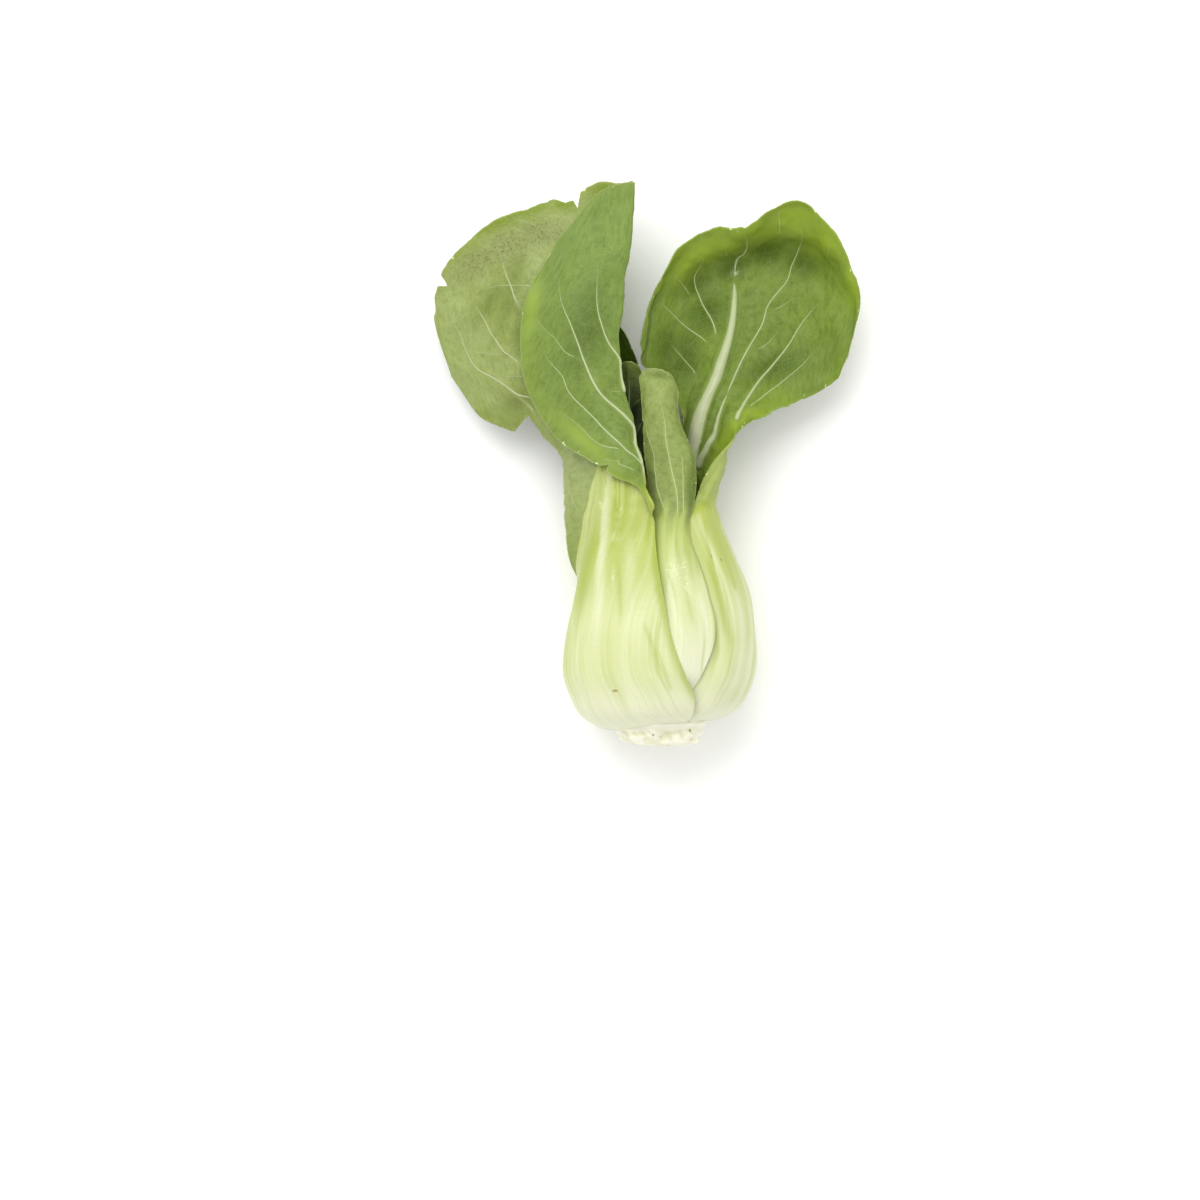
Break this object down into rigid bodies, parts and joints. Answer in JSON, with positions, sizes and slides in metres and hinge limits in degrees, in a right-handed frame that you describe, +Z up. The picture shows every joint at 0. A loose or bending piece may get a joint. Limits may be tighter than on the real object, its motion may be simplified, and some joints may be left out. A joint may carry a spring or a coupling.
{
  "type": "baby bok choy",
  "caption": "Head of baby bok choy lying on its side, with pale stalks in a round bulb and fanned green leaves.",
  "frame": {"origin": "on the resting surface, under the middle of the head's bounding box", "axes": "+Z up, +Y from the cut stub towards the tips of the leaves, +X to the right seen from above with the leaves away"},
  "size_m": [0.1358, 0.1794, 0.0521],
  "materials": {
    "stalk": "pale fleshy stalk, faintly glossy",
    "stalk_heart": "yellow-green fleshy stalk",
    "blade_pale": "pale outer side of a leaf, matte",
    "blade_green": "mid green upper side of a leaf, satin",
    "blade_dark": "dark green leaf, satin",
    "stub": "cream cut stem, rough"
  },
  "bodies": {
    "root": {"leaf_1_stalk": "stalk", "leaf_1_blade": "blade_pale", "leaf_2_stalk": "stalk", "leaf_2_blade": "blade_pale", "leaf_3_stalk": "stalk", "leaf_3_blade": "blade_green", "leaf_4_stalk": "stalk", "leaf_4_blade": "blade_dark", "leaf_5_stalk": "stalk_heart", "leaf_5_blade": "blade_pale", "leaf_6_stalk": "stalk", "leaf_6_blade": "blade_dark", "leaf_7_stalk": "stalk_heart", "leaf_7_blade": "blade_dark", "leaf_8_stalk": "stalk_heart", "leaf_8_blade": "blade_pale", "stem_base": "stub"}
  },
  "joints": []
}
